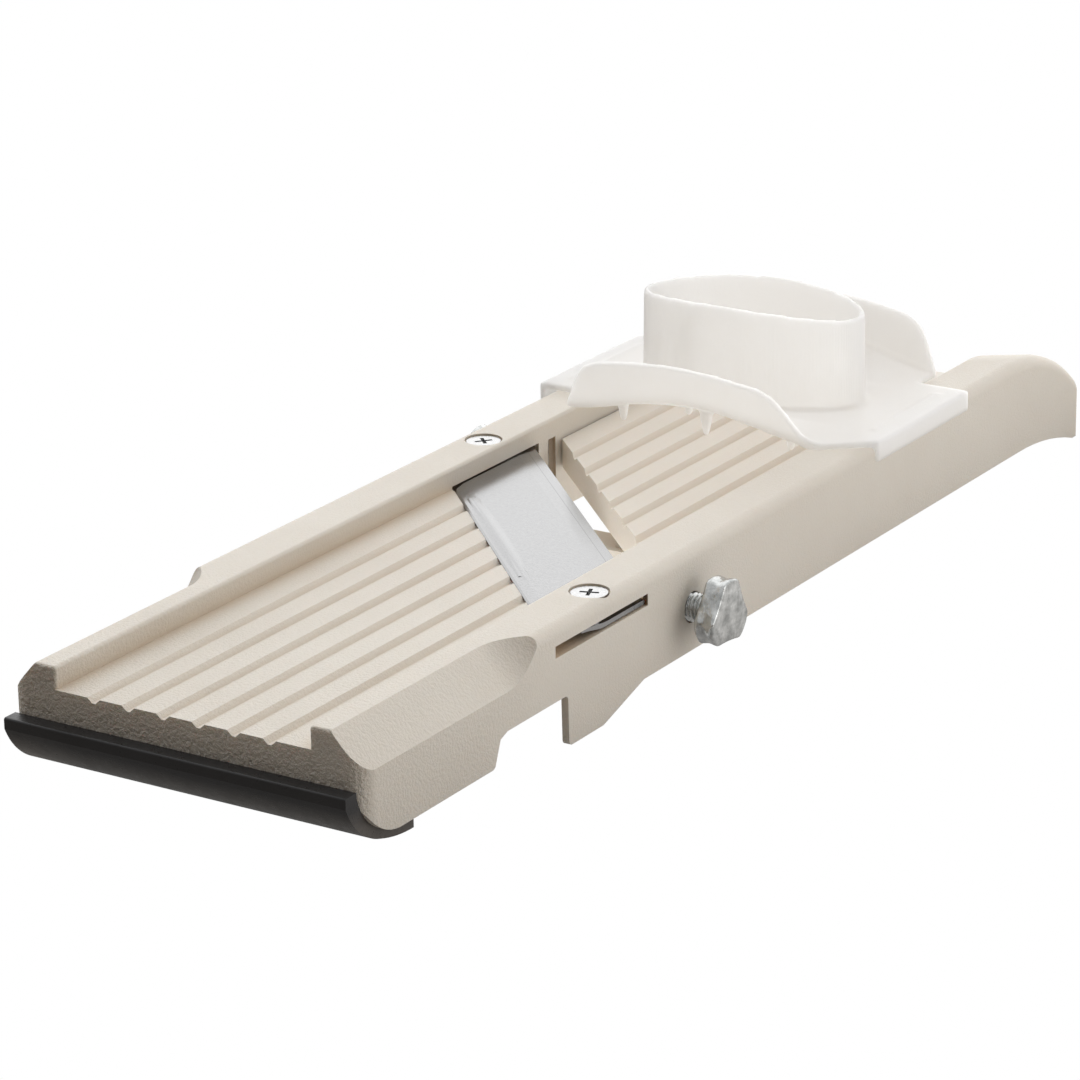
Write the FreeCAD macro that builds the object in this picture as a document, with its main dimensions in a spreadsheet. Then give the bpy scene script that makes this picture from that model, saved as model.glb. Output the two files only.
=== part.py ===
import FreeCAD, Part
import Sketcher
import os
import math
from FreeCAD import Vector, Placement, Rotation

# Mandoline slicer. Modelled in millimetres with z = 0 on the bed surface,
# y = 0 at the front edge of the bed and +y towards the handle; every finished
# piece is then moved so that the origin is under the middle of the object.

doc = FreeCAD.newDocument("slicer")
sheet = doc.addObject("Spreadsheet::Sheet", "dims")

DIMS = [
    ("half_w", 46.0, "half width over the side walls"),
    ("bed_half", 33.0, "half width between the rails"),
    ("rail_top", 5.2, "rail height above the bed"),
    ("wall_low", 19.3, "bottom of the side walls below the bed"),
    ("rest_low", 24.4, "resting plane below the bed"),
    ("body_len", 332.0, "length of the moulding"),
    ("bend_y", 296.0, "start of the rear bend"),
    ("bend_rad", 55.0, "radius of the rear bend on the rail tops"),
    ("deck_bend", 284.0, "start of the rear bend on the deck"),
    ("deck_rad", 64.0, "radius of the rear bend on the deck"),
    ("bed_thk", 3.0, "thickness of bed and deck"),
    ("inner_wall", 2.6, "thickness of the inner rail walls"),
    ("outer_wall", 2.8, "thickness of the outer walls"),
    ("top_wall", 3.0, "thickness of the rail tops"),
    ("corner_rad", 5.0, "plan radius of the front corners"),
    ("edge_rad", 2.8, "outer rail edge radius"),
    ("inner_rad", 0.9, "inner rail edge radius"),
    ("nose_rad", 0.8, "front rail edge radius"),
    ("groove_pitch", 9.15, "pitch of the bed grooves"),
    ("groove_half", 1.7, "half width of a groove at the surface"),
    ("groove_flat", 0.45, "half width of a groove floor"),
    ("groove_dep", 1.1, "depth of a groove"),
    ("notch_front", 49.3, "front of the bowl notch"),
    ("notch_roof", 12.3, "roof of the bowl notch below the bed"),
    ("tab_front", 79.2, "front of the resting tab"),
    ("tab_back", 93.5, "back of the resting tab"),
    ("tab_end", 111.0, "where the tab runs out"),
    ("blade_back", 120.6, "blade back line, x + y"),
    ("blade_edge", 156.8, "blade edge line, x + y"),
    ("blade_thk", 1.2, "blade thickness"),
    ("blade_top", 0.3, "blade top above the bed"),
    ("blade_half", 45.4, "half reach of the blade ends"),
    ("seat_end", 142.5, "front bed ends on this x + y line"),
    ("deck_edge", 262.0, "rear deck begins on this x + y line"),
    ("table_edge", 169.3, "feed table front line, x + y"),
    ("table_tail", 259.5, "feed table rear line, x + y"),
    ("table_half", 32.4, "half width of the feed table"),
    ("table_drop", 1.0, "table surface below the bed at rest"),
    ("table_thk", 3.0, "table plate thickness"),
    ("pin_line", 257.0, "hinge pin line, x + y"),
    ("pin_low", 8.0, "hinge pin axis below the bed"),
    ("pin_rad", 2.0, "hinge pin radius"),
    ("pin_len", 86.0, "hinge pin length"),
    ("knuckle_rad", 3.5, "hinge knuckle radius"),
    ("run_gap", 0.05, "radial running clearance"),
    ("screw_rx", 40.3, "right blade screw x"),
    ("screw_ry", 97.2, "right blade screw y"),
    ("screw_lx", 38.7, "left blade screw, distance left of centre"),
    ("screw_ly", 175.7, "left blade screw y"),
    ("screw_head", 4.2, "blade screw head radius"),
    ("screw_rad", 2.45, "blade screw shank radius"),
    ("screw_csk", 2.1, "blade screw head height"),
    ("nut_flat", 4.6, "nut corner radius"),
    ("nut_thk", 4.0, "nut thickness"),
    ("clamp_ry", 132.6, "right clamp axis y"),
    ("clamp_ly", 199.6, "left clamp axis y"),
    ("clamp_low", 8.9, "clamp axes below the bed"),
    ("clamp_rad", 3.45, "clamp stud radius"),
    ("head_rad", 8.25, "radius of the three finger lobes"),
    ("head_flat", 6.35, "radius between the lobes"),
    ("head_thk", 5.2, "clamp head thickness"),
    ("head_out", 56.0, "outer face of the clamp heads"),
    ("shoe_in", 37.2, "inner face of a clamp shoe"),
    ("shoe_thk", 1.6, "clamp shoe thickness"),
    ("adj_x", 8.0, "thickness screw x"),
    ("adj_y", 172.0, "thickness screw y"),
    ("adj_rad", 2.95, "thickness screw radius"),
    ("bar_y", 165.0, "front of the cross bar"),
    ("bar_wide", 14.0, "cross bar width"),
    ("bar_top", 14.0, "top of the cross bar below the bed"),
    ("bar_thk", 2.5, "cross bar thickness"),
    ("knob_top", 17.6, "top of the thickness knob below the bed"),
    ("knob_thk", 3.8, "thickness of the thickness knob"),
    ("guard_y", 240.6, "finger guard centre"),
    ("guard_half_x", 48.5, "finger guard half width"),
    ("guard_half_y", 24.0, "finger guard saddle half length"),
    ("guard_low", 5.5, "underside of the guard plate"),
    ("guard_thk", 1.7, "guard wall thickness"),
    ("ring_a", 30.4, "grip ring half length at the rim"),
    ("ring_c", 15.6, "grip ring half width at the rim"),
    ("ring_top", 31.8, "grip ring rim height at the middle"),
    ("ring_crown", 208.0, "radius of the crowned rim"),
    ("ring_wall", 1.5, "grip ring wall thickness"),
    ("brim_y", 33.6, "brim distance from the guard centre"),
    ("brim_lean", 19.0, "outward lean of the brims in degrees"),
    ("pin_step", 24.0, "holding pin spacing"),
    ("frame_y", 164.025, "shift of the finished pieces along y"),
]
VAL = {}
for row, (alias, value, note) in enumerate(DIMS, 1):
    sheet.set("A%d" % row, note)
    sheet.set("B%d" % row, repr(value))
    sheet.setAlias("B%d" % row, alias)
    VAL[alias] = value
doc.recompute()


class Q:
    """A number together with the sheet expression it comes from."""

    def __init__(self, v, e):
        self.v = float(v)
        self.e = e

    def __add__(self, o):
        o = q(o)
        return Q(self.v + o.v, "(%s + %s)" % (self.e, o.e))

    __radd__ = __add__

    def __sub__(self, o):
        o = q(o)
        return Q(self.v - o.v, "(%s - %s)" % (self.e, o.e))

    def __rsub__(self, o):
        return q(o) - self

    def __mul__(self, o):
        o = q(o)
        return Q(self.v * o.v, "(%s * %s)" % (self.e, o.e))

    __rmul__ = __mul__

    def __truediv__(self, o):
        o = q(o)
        return Q(self.v / o.v, "(%s / %s)" % (self.e, o.e))

    def __neg__(self):
        return Q(-self.v, "(0 - %s)" % self.e)


def q(x):
    return x if isinstance(x, Q) else Q(x, "(%.6f)" % x)


def D(name):
    return Q(VAL[name], "dims." + name)


def bind(obj, prop, value):
    value = q(value)
    if "dims." in value.e:
        obj.setExpression(prop, value.e)
    if "." not in prop:
        setattr(obj, prop, value.v)


def place(obj, x, y, z, rot=None):
    x, y, z = q(x), q(y), q(z)
    obj.Placement = Placement(Vector(x.v, y.v, z.v), rot or Rotation())
    for axis, val in (("x", x), ("y", y), ("z", z)):
        if "dims." in val.e:
            obj.setExpression("Placement.Base." + axis, val.e)


TO_X = Rotation(Vector(0, 1, 0), 90)
TO_U = Rotation(Vector(0, 0, 1), Vector(1, -1, 0))
TURN = Rotation(Vector(0, 0, 1), -45)
R2 = math.sqrt(2.0)


def new_body(name):
    return doc.addObject("PartDesign::Body", name)


def arc_geo(a, m, b):
    """Circle arc through three sketch points."""
    ax, ay = a
    mx, my = m
    bx, by = b
    d = 2 * (ax * (my - by) + mx * (by - ay) + bx * (ay - my))
    ux = ((ax * ax + ay * ay) * (my - by) + (mx * mx + my * my) * (by - ay)
          + (bx * bx + by * by) * (ay - my)) / d
    uy = ((ax * ax + ay * ay) * (bx - mx) + (mx * mx + my * my) * (ax - bx)
          + (bx * bx + by * by) * (mx - ax)) / d
    r = math.hypot(ax - ux, ay - uy)
    ta = math.atan2(ay - uy, ax - ux)
    tm = math.atan2(my - uy, mx - ux)
    tb = math.atan2(by - uy, bx - ux)
    two = 2 * math.pi
    forward = ((tm - ta) % two) < ((tb - ta) % two)
    circle = Part.Circle(Vector(ux, uy, 0), Vector(0, 0, 1), r)
    if forward:
        return Part.ArcOfCircle(circle, ta, ta + ((tb - ta) % two)), True
    return Part.ArcOfCircle(circle, tb, tb + ((ta - tb) % two)), False


def sketch(body, name, plane, loops, offset=0):
    """Closed loops of points; an entry ("arc", (x, y)) bends the next side."""
    sk = body.newObject("Sketcher::SketchObject", name)
    support = [f for f in body.Origin.OriginFeatures if f.Role == plane][0]
    sk.AttachmentSupport = [(support, "")]
    sk.MapMode = "FlatFace"
    offset = q(offset)
    sk.AttachmentOffset = Placement(Vector(0, 0, offset.v), Rotation())
    if "dims." in offset.e:
        sk.setExpression("AttachmentOffset.Base.z", offset.e)
    bound = []
    cons = []
    for loop in loops:
        pts, mids = [], {}
        for item in loop:
            if item[0] == "arc":
                mids[len(pts) - 1] = item[1]
            else:
                pts.append((q(item[0]), q(item[1])))
        n = len(pts)
        ids = []
        for i in range(n):
            a = (pts[i][0].v, pts[i][1].v)
            b = (pts[(i + 1) % n][0].v, pts[(i + 1) % n][1].v)
            if i in mids:
                geo, forward = arc_geo(a, mids[i], b)
                gid = sk.addGeometry(geo, False)
                ids.append((gid, 1, 2) if forward else (gid, 2, 1))
            else:
                gid = sk.addGeometry(Part.LineSegment(Vector(a[0], a[1], 0), Vector(b[0], b[1], 0)), False)
                ids.append((gid, 1, 2))
        for i in range(n):
            gid, start, end = ids[i]
            nxt = ids[(i + 1) % n]
            cons.append(Sketcher.Constraint("Coincident", gid, end, nxt[0], nxt[1]))
            for kind, val, axis in (("DistanceX", pts[i][0], -2), ("DistanceY", pts[i][1], -1)):
                if abs(val.v) < 1e-9:
                    cons.append(Sketcher.Constraint("PointOnObject", gid, start, axis))
                elif val.v > 0:
                    cons.append(Sketcher.Constraint(kind, -1, 1, gid, start, val.v))
                    bound.append((len(cons) - 1, val.e))
                else:
                    cons.append(Sketcher.Constraint(kind, gid, start, -1, 1, -val.v))
                    bound.append((len(cons) - 1, "(0 - %s)" % val.e))
    sk.addConstraint(cons)
    for index, expr in bound:
        if "dims." in expr:
            sk.setExpression("Constraints[%d]" % index, expr)
    sk.Visibility = False
    return sk


def grow(body, kind, name, profile, length, side="Symmetric", flip=False, through=False):
    f = body.newObject("PartDesign::" + kind, name)
    f.Profile = profile
    f.SideType = side
    if through:
        f.Type = "ThroughAll"
    else:
        bind(f, "Length", length)
    f.Reversed = flip
    body.Tip = f
    return f


def spin(body, name, profile, axis="V_Axis"):
    f = body.newObject("PartDesign::Revolution", name)
    f.Profile = profile
    f.ReferenceAxis = (profile, [axis])
    f.Angle = 360
    body.Tip = f
    return f


def box(name, x0, y0, z0, dx, dy, dz, rot=None):
    o = doc.addObject("Part::Box", name)
    bind(o, "Length", dx)
    bind(o, "Width", dy)
    bind(o, "Height", dz)
    place(o, x0, y0, z0, rot)
    return o


def cyl(name, r, length, x, y, z, rot=None):
    o = doc.addObject("Part::Cylinder", name)
    bind(o, "Radius", r)
    bind(o, "Height", length)
    place(o, x, y, z, rot)
    return o


def cone(name, r1, r2, length, x, y, z, rot=None):
    o = doc.addObject("Part::Cone", name)
    bind(o, "Radius1", r1)
    bind(o, "Radius2", r2)
    bind(o, "Height", length)
    place(o, x, y, z, rot)
    return o


def hexagon(name, r, length, x, y, z):
    o = doc.addObject("Part::Prism", name)
    o.Polygon = 6
    bind(o, "Circumradius", r)
    bind(o, "Height", length)
    place(o, x, y, z)
    return o


def fuse(name, items):
    o = doc.addObject("Part::MultiFuse", name)
    o.Shapes = items
    o.Refine = True
    return o


def cut(name, base, tool):
    o = doc.addObject("Part::Cut", name)
    o.Base = base
    o.Tool = tool
    return o


def common(name, a, b):
    o = doc.addObject("Part::MultiCommon", name)
    o.Shapes = [a, b]
    return o


def group(name, items):
    o = doc.addObject("Part::Compound", name)
    o.Links = items
    return o


NODES = []


def node(obj, label):
    """Names a finished piece and moves it into the shared frame."""
    obj.Label = label
    base = obj.Placement.Base
    obj.Placement = Placement(Vector(base.x, base.y - VAL["frame_y"], base.z + VAL["rest_low"]), obj.Placement.Rotation)
    kept = dict((path.lstrip("."), expr) for path, expr in obj.ExpressionEngine)
    for axis, shift in (("y", "- dims.frame_y"), ("z", "+ dims.rest_low")):
        path = "Placement.Base." + axis
        start = kept.get(path, "%.6f" % (base.y if axis == "y" else base.z))
        obj.setExpression(path, "%s %s" % (start, shift))
    NODES.append(obj)
    return obj


def x_edges(shape, spots, tol=0.05):
    """Names of the edges along x whose ends lie at the given (y, z) spots."""
    found = []
    for i, e in enumerate(shape.Edges, 1):
        a, b = e.Vertexes[0].Point, e.Vertexes[-1].Point
        if abs(a.y - b.y) < 1e-6 and abs(a.z - b.z) < 1e-6 and abs(a.x - b.x) > 1:
            if any(abs(a.y - y) < tol and abs(a.z - z) < tol for y, z in spots):
                found.append("Edge%d" % i)
    return found


def rail_edges(shape, x, radius, z_flat):
    """Names of the long top edges at |x|, straight part and bend."""
    cy, cz = VAL["bend_y"], VAL["rail_top"] - VAL["bend_rad"]
    found = []
    for i, e in enumerate(shape.Edges, 1):
        bb = e.BoundBox
        if abs(abs(bb.XMin) - x) > 1e-4 or abs(bb.XMin - bb.XMax) > 1e-4:
            continue
        p = e.valueAt((e.FirstParameter + e.LastParameter) / 2)
        on_flat = abs(p.z - z_flat) < 1e-4 and p.y < cy
        on_bend = p.y > cy and abs(math.hypot(p.y - cy, p.z - cz) - radius) < 1e-3
        if on_flat or on_bend:
            found.append("Edge%d" % i)
    return found


def round_off(body, name, finder, radius):
    doc.recompute()
    before = body.Tip
    names = finder(before.Shape)
    if not names:
        raise RuntimeError("no edges found for " + name)
    f = body.newObject("PartDesign::Fillet", name)
    f.Base = (before, names)
    bind(f, "Radius", radius)
    body.Tip = f
    doc.recompute()
    return f


# ---------------------------------------------------------------- body_frame
cy = VAL["bend_y"]
cz = VAL["rail_top"] - VAL["bend_rad"]


def bend_z(radius, y):
    return cz + math.sqrt(radius * radius - (y - cy) ** 2)


fb = new_body("frame_body")
rear = VAL["body_len"]
out_r = VAL["bend_rad"]
side = [
    (0, D("rail_top")),
    (D("bend_y"), D("rail_top")),
    ("arc", (cy + 19.0, bend_z(out_r, cy + 19.0))),
    (D("body_len"), bend_z(out_r, rear)),
    (D("body_len"), -D("rest_low")),
    (D("body_len") - 2.0, -D("rest_low")),
    ("arc", (315.0, -20.62)),
    (D("bend_y") + 2.0, -D("wall_low")),
    (D("tab_end"), -D("wall_low")),
    (D("tab_back"), -D("rest_low")),
    (D("tab_front"), -D("rest_low")),
    (D("tab_front") - 0.3, -D("notch_roof")),
    (D("notch_front") + 5.2, -D("notch_roof")),
    (D("notch_front") + 2.4, -D("notch_roof") - 1.0),
    (D("notch_front"), -D("wall_low")),
    (15.0, -D("wall_low")),
    ("arc", (3.9, -15.2)),
    (0, -8.5),
]
grow(fb, "Pad", "frame_pad", sketch(fb, "frame_side", "YZ_Plane", [side]), 2 * D("half_w"))
doc.recompute()

round_off(fb, "frame_soft", lambda sh: x_edges(sh, [(VAL["tab_front"], -24.4), (VAL["tab_back"], -24.4), (VAL["tab_end"], -19.3),
                                                    (VAL["tab_front"] - 0.3, -12.3), (VAL["notch_front"], -19.3)]), 1.2)

# the resting tabs stand on the outer walls only
inner_w = 2 * (D("half_w") - D("outer_wall"))
trim = [(60.0, -40.0), (60.0, -D("wall_low")), (125.0, -D("wall_low")), (125.0, -40.0)]
grow(fb, "Pocket", "tab_trim", sketch(fb, "tab_side", "YZ_Plane", [trim]), inner_w)

deck_y, deck_r = VAL["deck_bend"], VAL["deck_rad"]


def deck_z(radius, y):
    return -deck_r + math.sqrt(radius * radius - (y - deck_y) ** 2)


channel = [(-5.0, 0), (D("deck_bend"), 0), ("arc", (deck_y + 25.0, deck_z(deck_r, deck_y + 25.0))),
           (335.0, deck_z(deck_r, 335.0)), (335.0, 20.0), (-5.0, 20.0)]
grow(fb, "Pocket", "frame_channel", sketch(fb, "channel_side", "YZ_Plane", [channel]), 2 * D("bed_half"))

round_off(fb, "frame_edges", lambda sh: rail_edges(sh, VAL["half_w"], out_r, VAL["rail_top"]), D("edge_rad"))

c = D("corner_rad")
w = D("half_w")
k = 1 - math.sqrt(0.5)
corners = []
for s in (1, -1):
    corners.append([(s * (w - c), 0), ("arc", (s * (w.v - c.v * k), c.v * k)), (s * w, c),
                    (s * (w + 4), c), (s * (w + 4), -4.0), (s * (w - c), -4.0)])
grow(fb, "Pocket", "frame_corners", sketch(fb, "corner_plan", "XY_Plane", corners), 1, through=True)
doc.recompute()

round_off(fb, "frame_inner_edges", lambda sh: rail_edges(sh, VAL["bed_half"], out_r, VAL["rail_top"]), D("inner_rad"))


def nose_edges(shape):
    found = []
    for i, e in enumerate(shape.Edges, 1):
        bb = e.BoundBox
        if bb.YMax < 1e-4 and abs(bb.ZMin - VAL["rail_top"]) < 1e-4 and abs(bb.ZMax - VAL["rail_top"]) < 1e-4:
            found.append("Edge%d" % i)
    return found


round_off(fb, "frame_nose_edges", nose_edges, D("nose_rad"))

t = VAL["bed_thk"]
hollow = [(3.2, -D("bed_thk")), (3.2, -9.0), ("arc", (6.6, -14.2)), (15.0, -16.3), (21.0, -16.3), (21.0, -40.0),
          (D("body_len") - 3.0, -40.0), (D("body_len") - 3.0, deck_z(deck_r - t, rear - 3.0)),
          ("arc", (deck_y + 22.0, deck_z(deck_r - t, deck_y + 22.0))), (D("deck_bend"), -D("bed_thk"))]
grow(fb, "Pocket", "frame_hollow", sketch(fb, "hollow_side", "YZ_Plane", [hollow]), 2 * D("bed_half"))

b = D("bed_half")
feed = [(-b, D("seat_end") + b), (b, D("seat_end") - b), (b, D("deck_edge") - b), (-b, D("deck_edge") + b)]
grow(fb, "Pocket", "frame_feed", sketch(fb, "feed_plan", "XY_Plane", [feed]), 1, through=True)

tw = D("rail_top") - D("top_wall")
tail = [(D("bend_y") - 18.0, tw), ("arc", (307.0, -0.9)), (D("body_len") - 3.0, -15.5), (D("body_len") - 3.0, -40.0)]
rail_r = [(21.0, -40.0), (21.0, -4.6), (75.0, -4.6), (75.0, -7.0), (116.0, -7.0), (116.0, tw)] + tail
rail_l = [(21.0, -40.0), (21.0, -4.6), (75.0, -4.6), (75.0, tw), (160.0, tw), (160.0, -7.0), (191.0, -7.0), (191.0, tw)] + tail
mid = (D("bed_half") + D("inner_wall") + D("half_w") - D("outer_wall")) / 2
gap = D("half_w") - D("outer_wall") - D("bed_half") - D("inner_wall")
grow(fb, "Pocket", "rail_hollow_right", sketch(fb, "rail_right", "YZ_Plane", [rail_r], mid), gap)
grow(fb, "Pocket", "rail_hollow_left", sketch(fb, "rail_left", "YZ_Plane", [rail_l], -mid), gap)


def groove_loops(top):
    loops = []
    for i in range(6):
        x = D("groove_pitch") * (i - 2.5)
        loops.append([(x - D("groove_half") - 0.5, top + 0.42), (x - D("groove_half"), top), (x - D("groove_flat"), top - D("groove_dep")),
                      (x + D("groove_flat"), top - D("groove_dep")), (x + D("groove_half"), top), (x + D("groove_half") + 0.5, top + 0.42)])
    return loops


grow(fb, "Pocket", "bed_grooves", sketch(fb, "groove_front", "XZ_Plane", groove_loops(q(0))), 300.0)
grow(fb, "Pocket", "deck_grooves", sketch(fb, "groove_rear", "XZ_Plane", groove_loops(q(0)), -264.0), 56.0)

seat_top = D("blade_top") + 0.05
seat = [(-b - 1, D("blade_back") - 0.3 + b + 1), (b + 1, D("blade_back") - 0.3 - b - 1),
        (b + 1, D("seat_end") + 1 - b - 1), (-b - 1, D("seat_end") + 1 + b + 1)]
grow(fb, "Pocket", "blade_seat", sketch(fb, "seat_plan", "XY_Plane", [seat], seat_top), D("blade_thk") + 0.05, side="One side")
slots = []
for s in (1, -1):
    slots.append([(s * (b - 1), D("blade_back") - 0.6 - s * (b - 1)), (s * (w + 2), D("blade_back") - 0.6 - s * (w + 2)),
                  (s * (w + 2), D("blade_edge") + 2.0 - s * (w + 2)), (s * (b - 1), D("blade_edge") + 2.0 - s * (b - 1))])
grow(fb, "Pocket", "blade_slots", sketch(fb, "slot_plan", "XY_Plane", slots, D("blade_top") + 0.3), 2.8, side="One side")

# side recesses: a sloping flat that runs out in a tangent curve
slope = math.degrees(math.atan2(VAL["rail_top"] + 3.4, 46.0 - 38.3))
run_y, run_r = 55.0, 18.0
recess = []
for s in (1, -1):
    rc_body = new_body("recess_%d" % (s + 1))
    runout = [(-6.0, 0), (run_y, 0), ("arc", (run_y + run_r * math.sin(math.radians(40.0)), run_r - run_r * math.cos(math.radians(40.0)))),
              (run_y + run_r, run_r), (run_y + run_r, 40.0), (-6.0, 40.0)]
    grow(rc_body, "Pad", "recess_pad_%d" % (s + 1), sketch(rc_body, "recess_side_%d" % (s + 1), "YZ_Plane", [runout]), 80.0)
    rc_body.Placement = Placement(Vector(s * 38.3, 0, VAL["rail_top"]), Rotation(Vector(0, 1, 0), s * slope))
    recess.append(rc_body)

# rear ends of the rails: the inner side falls away earlier than the outer
rear_fall = []
for s in (1, -1):
    turn = Rotation(Vector(0, 0, 1), s * 34.0)
    along = turn.multVec(Vector(1, 0, 0))
    start = Vector(s * 46.0, 298.0, VAL["rail_top"] + 0.05 - 41.0)
    back_of = start - along * 60.0
    block = box("fall_box_%d" % (s + 1), back_of.x, back_of.y, back_of.z, 120.0, 60.0, 70.0, turn)
    roll = cyl("fall_roll_%d" % (s + 1), 41.0, 140.0, back_of.x - along.x * 10, back_of.y - along.y * 10, back_of.z,
               Rotation(Vector(0, 0, 1), along))
    strip = box("fall_strip_%d" % (s + 1), s * 40.0 - 7.1, 270.0, -40.0, 14.2, 70.0, 80.0)
    rear_fall.append(common("rear_fall_%d" % (s + 1), cut("fall_%d" % (s + 1), block, roll), strip))

added = []
for tag, s, y in (("r", 1, D("clamp_ry")), ("l", -1, D("clamp_ly"))):
    added.append(cyl("boss_" + tag, 7.0, 3.4, s * 41.9 - 1.7, y, -D("clamp_low"), TO_X))
    added.append(box("ledge_" + tag, 29.75 * s - 3.75, D("bar_y") - 2.0, -D("bar_top"), 7.5, D("bar_wide") + 4.0, 3.5))
for i, (s0, ln) in enumerate(((-42.0, 8.0), (-4.0, 8.0), (34.0, 8.0))):
    x0 = s0 / R2
    added.append(cyl("lug_%d" % i, D("knuckle_rad"), ln, x0, D("pin_line") - x0, -D("pin_low"), TO_U))
    added.append(box("lug_web_%d" % i, x0, D("pin_line") - x0, -D("pin_low") - D("knuckle_rad"), ln, 8.5, D("knuckle_rad") * 2, TURN))
    off = (VAL["deck_edge"] - VAL["pin_line"]) / R2 + 0.3
    added.append(box("lug_post_%d" % i, x0 + off / R2, D("pin_line") - x0 + off / R2, -D("pin_low"), ln, 8.5 - off, D("pin_low") - 2.0, TURN))

tools = recess + rear_fall
for tag, s in (("r", 1), ("l", -1)):
    tools.append(box("tab_thin_" + tag, s * 43.6 - 0.6, 66.0, -26.0, 1.2, 52.0, 13.0))
for tag, x, y in (("r", D("screw_rx"), D("screw_ry")), ("l", -D("screw_lx"), D("screw_ly"))):
    tools.append(cone("csk_" + tag, D("screw_rad") + 0.1, D("screw_head") + 0.45, D("screw_csk"), x, y, D("rail_top") - D("screw_csk") - 0.65))
    tools.append(cyl("csk_lip_" + tag, D("screw_head") + 0.45, 3.0, x, y, D("rail_top") - 0.65))
    tools.append(cyl("shank_hole_" + tag, D("screw_rad") + 0.2, 20.0, x, y, -12.0))
    tools.append(hexagon("nut_pocket_" + tag, D("nut_flat") + 0.1, D("nut_thk") + 3.0, x, y, -10.0))
for tag, s, y in (("r", 1, D("clamp_ry")), ("l", -1, D("clamp_ly"))):
    tools.append(cyl("clamp_hole_" + tag, D("clamp_rad") + 0.3, 12.0, s * 43.0 - 6.0, y, -D("clamp_low"), TO_X))
    tools.append(cyl("insert_hole_" + tag, 4.8, 4.2, s * 42.0 - 2.1, y, -D("clamp_low"), TO_X))
    tools.append(cyl("bar_pilot_" + tag, 1.45, 2.9, s * 29.5, D("bar_y") + D("bar_wide") / 2, -D("bar_top") - 0.1))
    mx = 33.5 * s
    tools.append(box("comb_slot_" + tag, mx - 3.0 / R2 - 1.2 / R2, 164.8 - mx + 3.0 / R2 - 1.2 / R2, -13.0, 6.0, 2.4, 13.2, TURN))
tools.append(cyl("pin_bore", D("pin_rad"), 100.0, -50.0 / R2, D("pin_line") + 50.0 / R2, -D("pin_low"), TO_U))
# the bore stays inside the channel walls
pin_room = box("pin_room", -D("bed_half"), 180.0, -20.0, 2 * D("bed_half"), 150.0, 20.0)
tools[-1] = common("pin_bore_cut", tools[-1], pin_room)

frame_whole = fuse("frame_whole", [fb] + added)
body_frame = node(cut("body_frame", frame_whole, fuse("frame_tools", tools)), "body_frame")

# --------------------------------------------------------------- rubber_foot
rb = new_body("rubber_foot")
rubber = [(0, -7.3), (-3.4, -7.3), ("arc", (-3.8, -7.45)), (-3.95, -7.85), (-3.95, -9.8), ("arc", (0.6, -16.3)), (8.2, -20.5),
          ("arc", (14.0, -21.9)), (20.4, -22.4), (20.4, -20.5), ("arc", (18.0, -20.2)), (15.0, -D("wall_low")), ("arc", (3.9, -15.2)), (0, -8.5)]
grow(rb, "Pad", "rubber_pad", sketch(rb, "rubber_side", "YZ_Plane", [rubber]), 2 * (D("half_w") - 1.6))
node(rb, "rubber_foot")

# ------------------------------------------------------------- slicing_blade
bb = new_body("blade_strip")
v0 = D("blade_back") / R2
v1 = D("blade_edge") / R2
zt = D("blade_top")
zb = D("blade_top") - D("blade_thk")
strip = [(v0, zb), (v0, zt - 0.55), (v0 + 0.5, zt - 0.25), (v0 + 2.9, zt), (v1 - 5.2, zt), (v1, zt - 0.35), (v1, zt - 0.43), (v1 - 3.4, zb)]
grow(bb, "Pad", "blade_pad", sketch(bb, "blade_section", "YZ_Plane", [strip]), 440.0)
bb.Placement = Placement(Vector(0, 0, 0), TURN)
room = box("blade_room", -36.4, 0.0, -10.0, 72.8, 300.0, 20.0)
blade_parts = [common("blade_middle", bb, room)]
# stepped ends that the screws pull down inside the rails
for tag, s, y0 in (("r", 1, 0.0), ("l", -1, 80.4)):
    eb = new_body("blade_end_" + tag)
    step_pts = [(y0 + 85.6, 0.4), (y0 + 85.6, -0.2), (y0 + 89.0, -0.7), (y0 + 91.5, -1.25), (y0 + 94.0, -1.72), (y0 + 97.0, -1.8), (y0 + 112.6, -1.8),
                (y0 + 112.6, -0.75), (y0 + 97.0, -0.75), (y0 + 94.5, -0.6), (y0 + 92.0, -0.2), (y0 + 89.0, 0.2)]
    grow(eb, "Pad", "blade_end_pad_" + tag, sketch(eb, "blade_end_side_" + tag, "YZ_Plane", [step_pts], s * (D("blade_half") + 35.0) / 2), D("blade_half") - 35.0)
    blade_parts.append(eb)
# stiffening bead along the back of the blade
bead_rod = cyl("bead_rod", 3.2, 56.6, -24.7, 149.5, D("blade_top") + 0.24 - 3.2, TO_U)
bead_room = box("bead_room", -60.0, 80.0, D("blade_top") - 0.3, 120.0, 100.0, 1.0)
bead_ball = doc.addObject("Part::Sphere", "bead_ball")
bead_ball.Radius = 1750.0
place(bead_ball, -4.7, 129.5, D("blade_top") + 0.24 - 1750.0)
blade_parts.append(common("blade_bead", common("bead_bar", bead_rod, bead_room), bead_ball))
blank = fuse("blade_blank", blade_parts)
holes = fuse("blade_holes", [cyl("blade_hole_r", D("screw_rad") + 0.2, 10.0, D("screw_rx"), D("screw_ry"), -5.0),
                             cyl("blade_hole_l", D("screw_rad") + 0.2, 10.0, -D("screw_lx"), D("screw_ly"), -5.0)])
node(cut("slicing_blade", blank, holes), "slicing_blade")

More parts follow.
